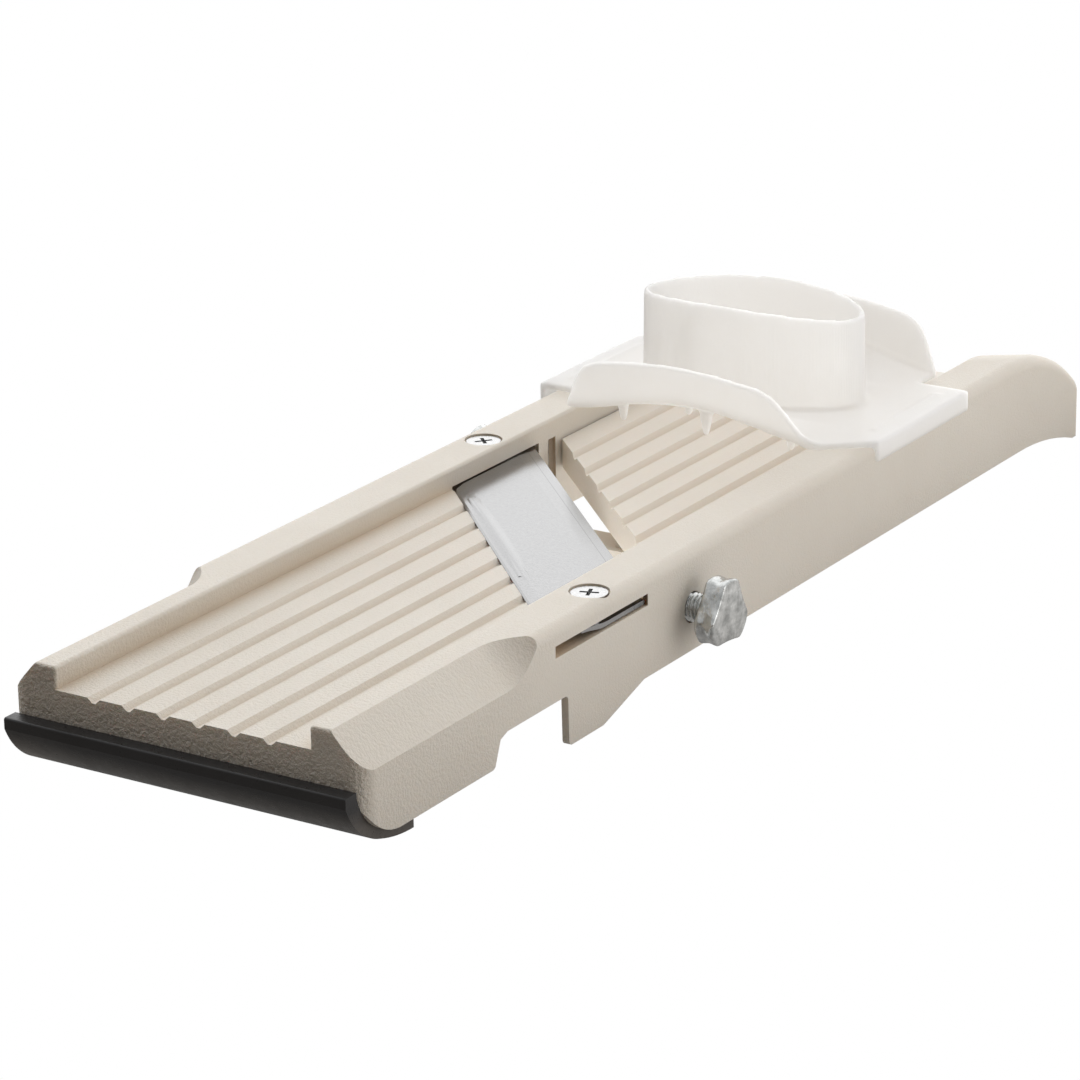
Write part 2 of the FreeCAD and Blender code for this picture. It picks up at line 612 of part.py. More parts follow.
# ------------------------------------------------- blade_screws, blade_nuts
screws = []
nuts = []
for tag, x, y in (("r", D("screw_rx"), D("screw_ry")), ("l", -D("screw_lx"), D("screw_ly"))):
    top = D("rail_top") - 0.6
    head = cone("screw_head_" + tag, D("screw_rad"), D("screw_head"), D("screw_csk"), x, y, top - D("screw_csk"))
    cap = cyl("screw_cap_" + tag, D("screw_head"), 0.25, x, y, top)
    shank = cyl("screw_shank_" + tag, D("screw_rad"), top + 7.4 - D("screw_csk") / 2, x, y, -7.4)
    blank = fuse("screw_blank_" + tag, [head, cap, shank])
    bars = []
    for i, ang in enumerate(((20.0, 110.0) if tag == "r" else (-45.0, 50.0))):
        turn = Rotation(Vector(0, 0, 1), ang)
        off = turn.multVec(Vector(-2.2, -0.45, 0))
        bars.append(box("cross_%d_%s" % (i, tag), x + off.x, y + off.y, top - 1.2, 4.4, 0.9, 3.0, turn))
    cross = fuse("screw_cross_" + tag, bars)
    screws.append(cut("screw_" + tag, blank, cross))
    hexa = hexagon("nut_hex_" + tag, D("nut_flat"), D("nut_thk"), x, y, -D("nut_thk") - 3.0)
    nuts.append(cut("nut_" + tag, hexa, cyl("nut_bore_" + tag, D("screw_rad"), 10.0, x, y, -10.0)))
node(group("blade_screws", screws), "blade_screws")
node(group("blade_nuts", nuts), "blade_nuts")

# ---------------------------------------------------------------- feed_table
tb = new_body("table_body")
h = D("table_half")
low = -D("table_drop")
plan = [(-h, D("table_edge") + h), (h, D("table_edge") - h), (h, D("table_tail") - h), (-h, D("table_tail") + h)]
grow(tb, "Pad", "table_pad", sketch(tb, "table_plan", "XY_Plane", [plan], low), D("table_thk"), side="One side", flip=True)
skirt = [(-h, D("table_edge") + h), (h, D("table_edge") - h), (h, D("table_edge") + 2.9 - h), (-h, D("table_edge") + 2.9 + h)]
grow(tb, "Pad", "table_skirt", sketch(tb, "skirt_plan", "XY_Plane", [skirt], low), 7.5, side="One side", flip=True)
ribs = []
for s in (1, -1):
    ribs.append([(s * h, D("table_edge") + 1 - s * h), (s * h, D("table_tail") - 14.0 - s * h),
                 (s * (h - 2), D("table_tail") - 14.0 - s * (h - 2)), (s * (h - 2), D("table_edge") + 1 - s * (h - 2))])
grow(tb, "Pad", "table_ribs", sketch(tb, "rib_plan", "XY_Plane", ribs, low), 6.0, side="One side", flip=True)
grow(tb, "Pocket", "table_grooves", sketch(tb, "table_groove", "XZ_Plane", groove_loops(low), -215.0), 200.0)
parts = [tb, cyl("table_boss", 6.0, 2.5, D("adj_x"), D("adj_y"), -6.0)]
for i, s0 in enumerate((-30.0, 8.0)):
    x0 = s0 / R2
    parts.append(cyl("knuckle_%d" % i, D("knuckle_rad"), 22.0, x0, D("pin_line") - x0, -D("pin_low"), TO_U))
    back = -3.5
    parts.append(box("knuckle_web_%d" % i, x0 + back / R2, D("pin_line") - x0 + back / R2, -D("pin_low"), 22.0, 4.6, D("pin_low") - 3.5, TURN))
table = cut("feed_table", fuse("table_whole", parts),
            cyl("table_bore", D("pin_rad") + D("run_gap"), 120.0, -60.0 / R2, D("pin_line") + 60.0 / R2, -D("pin_low"), TO_U))
node(table, "feed_table")

# ----------------------------------------------------------------- hinge_pin
pin = cyl("hinge_pin", D("pin_rad"), D("pin_len"), -D("pin_len") / 2 / R2, D("pin_line") + D("pin_len") / 2 / R2, -D("pin_low"), TO_U)
node(pin, "hinge_pin")

# ------------------------------------------------ cross bar and thickness screw
ax, ay = D("adj_x"), D("adj_y")
bar_low = -D("bar_top") - D("bar_thk")
bar = fuse("bar_blank", [box("bar_strip", -32.7, D("bar_y"), bar_low, 65.4, D("bar_wide"), D("bar_thk")),
                         cyl("bar_boss", 5.6, D("bar_thk") + 1.7, ax, ay, bar_low),
                         box("bar_rib", -25.0, D("bar_y"), -D("bar_top") - 0.5, 50.0, 2.0, 1.9)])
bar_holes = fuse("bar_holes", [cyl("bar_bore", 4.3, 20.0, ax, ay, -25.0),
                               cyl("bar_hole_r", 1.6, 20.0, 29.5, D("bar_y") + D("bar_wide") / 2, -25.0),
                               cyl("bar_hole_l", 1.6, 20.0, -29.5, D("bar_y") + D("bar_wide") / 2, -25.0)])
node(cut("adjuster_bridge", bar, bar_holes), "adjuster_bridge")

pans = []
for tag, s in (("r", 1), ("l", -1)):
    x, y = q(29.5 * s), D("bar_y") + D("bar_wide") / 2
    blank = fuse("pan_blank_" + tag, [cyl("pan_head_" + tag, 2.9, 1.8, x, y, bar_low - 1.8), cyl("pan_shank_" + tag, 1.45, D("bar_thk") + 2.6, x, y, bar_low)])
    cross = fuse("pan_cross_" + tag, [box("pan_a_" + tag, x - 1.7, y - 0.35, bar_low - 3.0, 3.4, 0.7, 2.2),
                                      box("pan_b_" + tag, x - 0.35, y - 1.7, bar_low - 3.0, 0.7, 3.4, 2.2)])
    pans.append(cut("pan_" + tag, blank, cross))
node(group("bridge_screws", pans), "bridge_screws")

node(cut("adjuster_insert", cyl("insert_blank", 4.3, D("bar_thk") + 1.7, ax, ay, bar_low),
         cyl("insert_bore", D("adj_rad") + D("run_gap"), 20.0, ax, ay, -25.0)), "adjuster_insert")

node(cyl("adjuster_stud", D("adj_rad"), D("knob_top") + 2.8 - 7.6, ax, ay, -D("knob_top") - 2.8), "adjuster_stud")


def lobed(name, thick, bore_depth, bore_rad):
    """Three-lobed head along local z, bored from its back face at z = 0."""
    hb = new_body(name + "_blank")
    loop = []
    for i in range(3):
        mid_a = math.radians(85.0 + 120.0 * i)
        for sign in (-1, 1):
            a_ = mid_a + sign * math.radians(23.5)
            loop.append((D("head_rad") * math.cos(a_), D("head_rad") * math.sin(a_)))
            if sign < 0:
                loop.append(("arc", (VAL["head_rad"] * math.cos(mid_a), VAL["head_rad"] * math.sin(mid_a))))
            else:
                f_ = mid_a + math.radians(60.0)
                loop.append(("arc", (VAL["head_flat"] * math.cos(f_), VAL["head_flat"] * math.sin(f_))))
    grow(hb, "Pad", name + "_pad", sketch(hb, name + "_plan", "XY_Plane", [loop]), thick, side="One side")

    def rims(shape):
        return ["Edge%d" % i for i, e in enumerate(shape.Edges, 1) if e.BoundBox.ZLength < 1e-6]

    round_off(hb, name + "_soft", rims, 0.4)
    return cut(name, hb, cyl(name + "_bore", bore_rad, bore_depth, 0, 0, 0))


knob = lobed("adjuster_head", D("knob_thk"), 2.8, D("adj_rad"))
knob.Placement = Placement(Vector(VAL["adj_x"], VAL["adj_y"], -VAL["knob_top"]), Rotation(Vector(1, 0, 0), 180))
node(knob, "adjuster_head")

pb = new_body("adjuster_pad")
pad_pts = [(0, -7.5), (3.05, -7.5), (3.05, -9.2), (4.7, -9.2), (4.7, -6.95), (3.0, -6.3), (0, -6.3)]
spin(pb, "pad_spin", sketch(pb, "pad_section", "XZ_Plane", [pad_pts]))
pb.Placement = Placement(Vector(VAL["adj_x"], VAL["adj_y"], 0), Rotation())
node(pb, "adjuster_pad")

# ------------------------------------------------------------- clamp screws
for word, s, y in (("right", 1, D("clamp_ry")), ("left", -1, D("clamp_ly"))):
    z = -D("clamp_low")
    face = Rotation(Vector(0, 0, 1), Vector(s, 0, 0))
    blank = cyl(word + "_insert_blank", 4.8, 3.8, s * 40.2, y, z, face)
    bore = cyl(word + "_insert_bore", D("clamp_rad") + D("run_gap"), 12.0, s * 36.0, y, z, face)
    node(cut(word + "_clamp_insert", blank, bore), word + "_clamp_insert")
    tip = D("shoe_in") + 0.9
    stud = cyl(word + "_clamp_stud", D("clamp_rad"), D("head_out") - 1.6 - tip, s * tip, y, z, face)
    node(stud, word + "_clamp_stud")
    head = lobed(word + "_clamp_head", D("head_thk"), D("head_thk") - 1.6, D("clamp_rad"))
    if s > 0:
        turn = Rotation(Vector(0, 1, 0), Vector(0, 0, 1), Vector(1, 0, 0), "ZXY")
    else:
        turn = Rotation(Vector(0, -1, 0), Vector(0, 0, 1), Vector(-1, 0, 0), "ZXY")
    head.Placement = Placement(Vector(s * (VAL["head_out"] - VAL["head_thk"]), y.v, z.v), turn)
    node(head, word + "_clamp_head")
    slab = box(word + "_shoe_slab", s * (D("shoe_in") + D("shoe_thk") / 2) - D("shoe_thk") / 2, y - 5.0, z - 5.0, D("shoe_thk"), 10.0, 10.0)
    socket = cyl(word + "_shoe_socket", D("clamp_rad") + 0.08, 5.0, s * (D("shoe_in") + 0.8), y, z, face)
    node(cut(word + "_clamp_shoe", slab, socket), word + "_clamp_shoe")

# -------------------------------------------------------------- finger_guard
# The vaulted brims need lofts between curves, so this piece is made as a
# shape; every size is read from the sheet.
gx, gy = VAL["guard_half_x"], VAL["guard_half_y"]
g0, gt = VAL["guard_low"], VAL["guard_thk"]
gtop = g0 + gt


def slab_xy(x0, x1, y0, y1, z0, z1):
    return Part.makeBox(x1 - x0, y1 - y0, z1 - z0, Vector(x0, y0, z0))


wing, heel = 36.6, 34.4
reach = VAL["brim_y"] + 0.2
half = [(gx, -gy), (wing, -reach), (33.0, -reach), (33.0, -18.0), (-33.0, -18.0), (-33.0, -reach), (-heel, -reach), (-heel, -gy), (-gx, -gy)]
rim_pts = half + [(-x, -y) for x, y in half]
corners_3d = [Vector(x, y, g0) for x, y in rim_pts]
plate = Part.Face(Part.makePolygon(corners_3d + [corners_3d[0]])).extrude(Vector(0, 0, gt))
solids = [plate]
for s in (1, -1):
    x0, x1 = sorted((s * (gx - 1.2), s * gx))
    solids.append(slab_xy(x0, x1, -gy, gy, 1.5, g0 + 0.5))
    solids.append(slab_xy(min(s * 42.6, s * 43.6), max(s * 42.6, s * 43.6), -17.0, 17.0, gtop - 0.2, gtop + 0.35))


def oval(a, c, z, n=48):
    pts = []
    for i in range(n):
        t_ = 2 * math.pi * i / n
        pts.append(Vector(a * math.cos(t_), c * math.sin(t_), z))
    curve = Part.BSplineCurve()
    curve.interpolate(pts, PeriodicFlag=True)
    return Part.Wire(curve.toShape())


ra, rc, rz, rw = VAL["ring_a"], VAL["ring_c"], VAL["ring_top"], VAL["ring_wall"]
outer = Part.makeLoft([oval(ra + 0.4, rc + 0.4, g0 + 0.3), oval(ra, rc, rz + 1.0)], True)
hollow_ring = Part.makeLoft([oval(ra + 0.4 - rw, rc + 0.4 - rw, gtop), oval(ra - rw, rc - rw, rz + 2.0)], True)
crown = VAL["ring_crown"]
ring = outer.cut(hollow_ring).common(Part.makeCylinder(crown, 80.0, Vector(0, -40.0, rz - crown), Vector(0, 1, 0)))

by = VAL["brim_y"]


def bell(x):
    if x > 0:
        return max(0.0, 1 - (x / wing) ** 2) ** 1.5
    return max(0.0, 1 - (x / heel) ** 2) ** 1.85


def band(y, rise, n=33):
    low_pts, high_pts = [], []
    for i in range(n):
        x = -heel + (wing + heel) * i / (n - 1)
        z = g0 + rise * bell(x)
        low_pts.append(Vector(x, y, z))
        high_pts.append(Vector(x, y, z + gt))
    lo, hi = Part.BSplineCurve(), Part.BSplineCurve()
    lo.interpolate(low_pts)
    hi.interpolate(high_pts)
    return Part.Wire([lo.toShape(), Part.makeLine(low_pts[-1], high_pts[-1]), hi.toShape(), Part.makeLine(high_pts[0], low_pts[0])])


vault = Part.makeLoft([band(-18.0, 0.02), band(-gy + 1.0, 1.6), band(-by - 5.0, 7.9)], True)
# the brim stands on the line y = -by at the plate underside and leans outwards
up = Vector(0, -math.sin(math.radians(VAL["brim_lean"])), math.cos(math.radians(VAL["brim_lean"])))
normal = Vector(0, math.cos(math.radians(VAL["brim_lean"])), math.sin(math.radians(VAL["brim_lean"])))
foot = Vector(0, -by, g0)


def on_brim(x, r):
    return foot + Vector(x, 0, 0) + up * r


span_x = [-heel + (wing + heel) * i / 32.0 for i in range(33)]
low_arc = [on_brim(x, 6.7 * bell(x)) for x in span_x]
flow_top = [(wing, 1.9), (34.9, 2.5), (33.3, 3.5), (32.0, 5.0), (30.4, 7.4), (28.7, 10.1), (27.0, 12.4), (24.6, 14.2), (17.5, 15.9), (8.0, 17.1), (0.0, 17.5)]
steep_top = [(heel, 1.4), (33.6, 2.9), (32.6, 4.7), (31.4, 7.1), (29.4, 10.5), (27.4, 12.9), (24.8, 14.4), (17.5, 16.1), (8.0, 17.2)]
top_arc = [on_brim(x, r) for x, r in flow_top] + [on_brim(-x, r) for x, r in reversed(steep_top)]
lo_c, hi_c = Part.BSplineCurve(), Part.BSplineCurve()
lo_c.interpolate(low_arc)
hi_c.interpolate(top_arc)
outline = Part.Wire([lo_c.toShape(), Part.makeLine(low_arc[-1], top_arc[0]), hi_c.toShape(), Part.makeLine(top_arc[-1], low_arc[0])])
brim = Part.Face(outline).extrude(normal * gt)
# trim the vault at the outer plane of the brim
keep = Part.makeBox(120.0, 60.0, 80.0)
keep.Placement = Placement(foot + Vector(-60.0, 0, 0) - up * 30.0, Rotation(Vector(1, 0, 0), VAL["brim_lean"]))
vault = vault.common(keep)
for s in (1, -1):
    piece = [vault, brim]
    if s < 0:
        piece = [p.copy() for p in piece]
        for p in piece:
            p.rotate(Vector(0, 0, 0), Vector(0, 0, 1), 180.0)
    solids.extend(piece)

step = VAL["pin_step"]
spots = [(x * step, r * 23.3) for r in (-1, 0, 1) for x in (-1, 0, 1)] + [(x * step / 2, r * 11.4) for r in (-1, 1) for x in (-1, 1)]
for x, y in spots:
    solids.append(Part.makeCone(1.0, 1.8, g0 + 1.5 - 1.55, Vector(x, y, 1.55)))
    solids.append(Part.makeSphere(1.0, Vector(x, y, 1.6)))

whole = solids[0].fuse(solids[1:] + [ring]).removeSplitter()
whole = whole.cut(hollow_ring)
guard = doc.addObject("Part::Feature", "finger_guard")
guard.Shape = whole
guard.Placement = Placement(Vector(0, VAL["guard_y"], 0), Rotation())
node(guard, "finger_guard")

# -------------------------------------------------------------------- export
doc.recompute()
bad = [o.Name for o in doc.Objects if "Invalid" in o.State or "Error" in o.State]
if bad:
    raise RuntimeError("objects in error: %s" % bad)
os.makedirs("parts", exist_ok=True)
for obj in NODES:
    shape = obj.Shape
    if shape.isNull() or not shape.isValid():
        raise RuntimeError("bad shape: " + obj.Label)
    print("%-22s solids %d  volume %9.1f  box %s" % (obj.Label, len(shape.Solids), shape.Volume,
          [round(n, 2) for n in (shape.BoundBox.XMin, shape.BoundBox.XMax, shape.BoundBox.YMin, shape.BoundBox.YMax, shape.BoundBox.ZMin, shape.BoundBox.ZMax)]))
    shape.exportStep("parts/%s.step" % obj.Label)
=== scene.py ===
import bpy
import bmesh
import math
from mathutils import Matrix, Vector


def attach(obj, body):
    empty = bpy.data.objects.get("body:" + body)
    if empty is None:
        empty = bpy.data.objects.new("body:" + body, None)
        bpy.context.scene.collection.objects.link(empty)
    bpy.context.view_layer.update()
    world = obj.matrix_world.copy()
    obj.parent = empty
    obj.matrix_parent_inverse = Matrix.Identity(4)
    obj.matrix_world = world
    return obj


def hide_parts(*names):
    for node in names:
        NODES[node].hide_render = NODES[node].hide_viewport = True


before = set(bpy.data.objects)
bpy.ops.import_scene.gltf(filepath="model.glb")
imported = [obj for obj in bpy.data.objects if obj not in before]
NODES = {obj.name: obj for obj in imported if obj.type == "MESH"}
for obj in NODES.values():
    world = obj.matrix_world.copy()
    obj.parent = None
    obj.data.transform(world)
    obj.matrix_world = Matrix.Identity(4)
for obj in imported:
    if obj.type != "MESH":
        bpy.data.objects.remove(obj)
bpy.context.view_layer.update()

scene = bpy.context.scene

# Bed coordinates (millimetres, z = 0 on the bed, y = 0 at its front edge)
# are turned into the shared frame with at().
SHIFT_Y, SHIFT_Z = -164.025, 24.4


def at(x, y, z):
    return Vector((x, y + SHIFT_Y, z + SHIFT_Z)) / 1000.0


# ------------------------------------------------------------------ camera
yaw, pitch, roll = math.radians(32.6596), math.radians(19.4188), math.radians(-0.8753)
back = Vector((math.sin(yaw) * math.cos(pitch), -math.cos(yaw) * math.cos(pitch), math.sin(pitch)))
right = Vector((math.cos(yaw), math.sin(yaw), 0.0))
up = back.cross(right)
r_axis = right * math.cos(roll) + up * math.sin(roll)
u_axis = up * math.cos(roll) - right * math.sin(roll)
cam_data = bpy.data.cameras.new("camera")
cam = bpy.data.objects.new("camera", cam_data)
scene.collection.objects.link(cam)
m = Matrix((r_axis, u_axis, back)).transposed().to_4x4()
m.translation = at(4.885, 132.6, 0.0) + back * 1.029
cam.matrix_world = m
cam_data.sensor_width = 36.0
cam_data.lens = 4436.0 / 1080.0 * 36.0
cam_data.clip_start = 0.05
cam_data.clip_end = 50.0
scene.camera = cam


# --------------------------------------------------------------- materials
class Mat:
    """Small helper round a node tree with one Principled shader."""

    def __init__(self, name):
        self.m = bpy.data.materials.new(name)
        self.m.use_nodes = True
        self.t = self.m.node_tree
        self.t.nodes.clear()
        self.out = self.t.nodes.new("ShaderNodeOutputMaterial")
        self.b = self.t.nodes.new("ShaderNodeBsdfPrincipled")
        self.link(self.b.outputs[0], self.out.inputs["Surface"])
        self.co = self.t.nodes.new("ShaderNodeTexCoord").outputs["Object"]

    def link(self, a, b):
        self.t.links.new(a, b)

    def set(self, **kw):
        for key, val in kw.items():
            self.b.inputs[key.replace("_", " ")].default_value = val

    def scaled(self, sx, sy, sz, rot=(0, 0, 0)):
        n = self.t.nodes.new("ShaderNodeMapping")
        n.inputs["Scale"].default_value = (sx, sy, sz)
        n.inputs["Rotation"].default_value = rot
        self.link(self.co, n.inputs["Vector"])
        return n.outputs[0]

    def noise(self, scale, detail=3.0, rough=0.55, vec=None, kind="FBM"):
        n = self.t.nodes.new("ShaderNodeTexNoise")
        n.inputs["Scale"].default_value = scale
        n.inputs["Detail"].default_value = detail
        n.inputs["Roughness"].default_value = rough
        self.link(vec or self.co, n.inputs["Vector"])
        return n.outputs["Fac"]

    def voronoi(self, scale, vec=None):
        n = self.t.nodes.new("ShaderNodeTexVoronoi")
        n.inputs["Scale"].default_value = scale
        self.link(vec or self.co, n.inputs["Vector"])
        return n.outputs["Distance"]

    def ramp(self, fac, stops):
        n = self.t.nodes.new("ShaderNodeValToRGB")
        el = n.color_ramp.elements
        while len(el) < len(stops):
            el.new(0.5)
        for e, (pos, col) in zip(el, stops):
            e.position = pos
            e.color = (col[0], col[1], col[2], 1.0) if hasattr(col, "__len__") else (col, col, col, 1.0)
        self.link(fac, n.inputs["Fac"])
        return n.outputs["Color"]

    def span(self, fac, lo, hi, from_lo=0.3, from_hi=0.7):
        n = self.t.nodes.new("ShaderNodeMapRange")
        n.inputs["From Min"].default_value = from_lo
        n.inputs["From Max"].default_value = from_hi
        n.inputs["To Min"].default_value = lo
        n.inputs["To Max"].default_value = hi
        self.link(fac, n.inputs["Value"])
        return n.outputs[0]

    def bump(self, height, strength, distance, normal=None, amount=None):
        n = self.t.nodes.new("ShaderNodeBump")
        n.inputs["Strength"].default_value = strength
        if amount is not None:
            mul = self.t.nodes.new("ShaderNodeMath")
            mul.operation = "MULTIPLY"
            mul.inputs[1].default_value = strength
            self.link(amount, mul.inputs[0])
            self.link(mul.outputs[0], n.inputs["Strength"])
        n.inputs["Distance"].default_value = distance
        self.link(height, n.inputs["Height"])
        if normal is not None:
            self.link(normal, n.inputs["Normal"])
        return n.outputs[0]

    def to(self, socket, name):
        self.link(socket, self.b.inputs[name])

    def edge(self, lo=0.5, hi=0.56):
        """Brighter on convex edges, from the mesh's own curvature."""
        g = self.t.nodes.new("ShaderNodeNewGeometry")
        return self.span(g.outputs["Pointiness"], 0.0, 1.0, lo, hi)

    def hollow_shade_mask(self, distance, lo, hi):
        """Mask for painted shade: one in the hollows of the piece's own shape, nought in the open."""
        n = self.t.nodes.new("ShaderNodeAmbientOcclusion")
        n.only_local = True
        n.samples = 8
        n.inputs["Distance"].default_value = distance
        return self.span(n.outputs["AO"], 1.0, 0.0, lo, hi)

    def math(self, op, a, b=0.0):
        n = self.t.nodes.new("ShaderNodeMath")
        n.operation = op
        for val, sock in ((a, n.inputs[0]), (b, n.inputs[1])):
            if hasattr(val, "is_linked"):
                self.link(val, sock)
            else:
                sock.default_value = val
        return n.outputs[0]

    def axes(self):
        n = self.t.nodes.new("ShaderNodeSeparateXYZ")
        self.link(self.co, n.inputs[0])
        return n.outputs

    def mix(self, fac, a, b):
        n = self.t.nodes.new("ShaderNodeMix")
        n.data_type = "RGBA"
        self.link(fac, n.inputs[0])
        for val, sock in ((a, n.inputs[6]), (b, n.inputs[7])):
            if hasattr(val, "is_linked"):
                self.link(val, sock)
            else:
                sock.default_value = (val[0], val[1], val[2], 1.0)
        return n.outputs[2]


def plastic(name, dark, light, grain=1.0, sss=0.10, nose=False, hollow_shade=None):
    k = Mat(name)
    k.set(IOR=1.47, Subsurface_Weight=sss, Subsurface_Radius=(0.004, 0.0026, 0.0016), Subsurface_Scale=1.0)
    cloud = k.noise(28.0, 4.0)
    skin = k.ramp(cloud, [(0.3, dark), (0.7, light)])
    if hollow_shade:
        # painted shade: the plastic is tinted browner in its own slots, corners and groove valleys, where shade falls
        skin = k.mix(k.hollow_shade_mask(0.005, 0.40, 0.97), skin, hollow_shade)
    k.to(skin, "Base Color")
    k.to(k.span(k.noise(900.0, 2.0), 0.38, 0.52), "Roughness")
    fine = k.noise(2000.0, 3.0, 0.6)
    last = k.bump(fine, 0.5 * grain, 0.0002)
    if nose:
        # coarser leather grain towards the front end
        amount = k.span(k.axes()["Y"], 1.0, 0.3, -0.125, -0.085)
        turned = k.t.nodes.new("ShaderNodeNewGeometry")
        way = k.t.nodes.new("ShaderNodeSeparateXYZ")
        k.link(turned.outputs["True Normal"], way.inputs[0])
        amount = k.math("MULTIPLY", amount, k.span(way.outputs["Y"], 1.0, 0.26, -0.95, -0.35))
        leather = k.noise(1150.0, 3.5, 0.6)
        last = k.bump(leather, 1.0, 0.0012, last, amount)
    k.to(last, "Normal")
    return k.m


# the last colour given to each plastic is its painted shade for hollows
IVORY = plastic("ivory_plastic", (0.70, 0.643, 0.562), (0.74, 0.688, 0.608), nose=True, hollow_shade=(0.65, 0.54, 0.415))
TABLE = plastic("table_plastic", (0.735, 0.674, 0.588), (0.77, 0.71, 0.625), sss=0.2, hollow_shade=(0.66, 0.565, 0.445))


def rubber():
    k = Mat("black_rubber")
    k.set(Specular_IOR_Level=0.35)
    # lighter brown-grey low on the foot (below 8.5 to 13.5 mm): dust on the rubber together with a painted reflection
    # of the pale floor in front
    dust_and_reflection_band = k.span(k.axes()["Z"], 1.0, 0.0, 0.0085, 0.0135)
    black = k.ramp(k.noise(60.0, 4.0), [(0.3, (0.019, 0.019, 0.0205)), (0.7, (0.030, 0.030, 0.032))])
    dusty_and_reflecting = k.ramp(k.noise(180.0, 5.0), [(0.3, (0.095, 0.086, 0.077)), (0.7, (0.14, 0.128, 0.116))])
    k.to(k.mix(dust_and_reflection_band, black, dusty_and_reflecting), "Base Color")
    k.to(k.span(k.noise(500.0, 2.0), 0.26, 0.38), "Roughness")
    k.to(k.bump(k.noise(3000.0, 2.0), 0.25, 0.0002), "Normal")
    return k.m


def steel(name, dark, light, rough=(0.25, 0.38), streak=(30.0, 30.0, 30.0), rot=(0, 0, 0), strength=0.08, ground=None):
    k = Mat(name)
    k.set(Metallic=1.0)
    line = k.noise(40.0, 6.0, 0.6, k.scaled(*streak, rot=rot))
    face = k.ramp(line, [(0.3, dark), (0.7, light)])
    if ground is not None:
        # faint line where the ground edge begins
        ax = k.axes()
        off = k.math("ABSOLUTE", k.math("SUBTRACT", k.math("ADD", ax["X"], ax["Y"]), ground))
        face = k.mix(k.span(off, 0.55, 0.0, 0.00006, 0.00022), face, (0.15, 0.15, 0.15))
    k.to(face, "Base Color")
    k.to(k.span(line, rough[0], rough[1]), "Roughness")
    k.to(k.bump(line, strength, 0.0002), "Normal")
    return k.m


BLADE = steel("blade_steel", (0.292, 0.292, 0.294), (0.348, 0.348, 0.351), (0.13, 0.18), (40.0, 70.0, 40.0), (0, 0, math.radians(45)), ground=-0.0106)
SCREW = steel("screw_steel", (0.46, 0.46, 0.46), (0.58, 0.58, 0.58), (0.18, 0.3))
BRASS = steel("brass", (0.60, 0.44, 0.18), (0.74, 0.57, 0.27), (0.25, 0.4))
NYLON = plastic("pad_plastic", (0.70, 0.69, 0.64), (0.77, 0.76, 0.71))


def cast():
    k = Mat("zinc")
    k.set(Metallic=1.0)
    grain = k.noise(1500.0, 4.0, 0.65)
    k.to(k.ramp(k.noise(420.0, 4.0, 0.6), [(0.3, (0.30, 0.31, 0.305)), (0.7, (0.70, 0.71, 0.705))]), "Base Color")
    k.to(k.span(k.noise(700.0, 3.0), 0.10, 0.22), "Roughness")
    wavy = k.bump(k.noise(330.0, 3.0), 0.35, 0.0006)
    k.to(k.bump(grain, 0.22, 0.0002, wavy), "Normal")
    return k.m


ZINC = cast()


def milky():
    k = Mat("guard_plastic")
    k.set(IOR=1.45, Specular_IOR_Level=0.15, Subsurface_Weight=1.0, Subsurface_Radius=(0.0120, 0.0117, 0.0112), Subsurface_Scale=1.0)
    k.to(k.ramp(k.noise(35.0, 3.0), [(0.3, (0.800, 0.789, 0.770)), (0.7, (0.825, 0.815, 0.797))]), "Base Color")
    k.to(k.span(k.noise(500.0, 2.0), 0.28, 0.38), "Roughness")
    # fine upright ribs round the outside of the grip ring
    ax = k.axes()
    px = k.math("DIVIDE", ax["X"], 0.0304)
    py = k.math("DIVIDE", k.math("SUBTRACT", ax["Y"], 0.0766), 0.0156)
    ribs = k.math("SINE", k.math("MULTIPLY", k.math("ARCTAN2", py, px), 164.0))
    out = k.math("ADD", k.math("MULTIPLY", px, px), k.math("MULTIPLY", py, py))
    here = k.math("MULTIPLY", k.span(out, 0.0, 1.0, 0.90, 0.97), k.math("MULTIPLY", k.span(ax["Z"], 0.0, 1.0, 0.0330, 0.0345), k.span(ax["Z"], 1.0, 0.0, 0.0530, 0.0545)))
    skin = k.bump(k.noise(1800.0, 2.0), 0.12, 0.0002)
    k.to(k.bump(ribs, 0.25, 0.00004, skin, here), "Normal")
    return k.m


GUARD = milky()
RUBBER = rubber()


def paint(name, mat):
    o = NODES[name]
    o.data.materials.clear()
    o.data.materials.append(mat)


for n, mt in {
    "body_frame": IVORY, "feed_table": TABLE, "adjuster_bridge": IVORY, "rubber_foot": RUBBER, "slicing_blade": BLADE,
    "blade_screws": SCREW, "blade_nuts": SCREW, "hinge_pin": SCREW, "bridge_screws": SCREW, "adjuster_insert": BRASS,
    "adjuster_stud": ZINC, "adjuster_head": ZINC, "adjuster_pad": NYLON, "right_clamp_insert": BRASS, "left_clamp_insert": BRASS,
    "right_clamp_stud": ZINC, "left_clamp_stud": ZINC, "right_clamp_head": ZINC, "left_clamp_head": ZINC,
    "right_clamp_shoe": NYLON, "left_clamp_shoe": NYLON, "finger_guard": GUARD,
}.items():
    paint(n, mt)


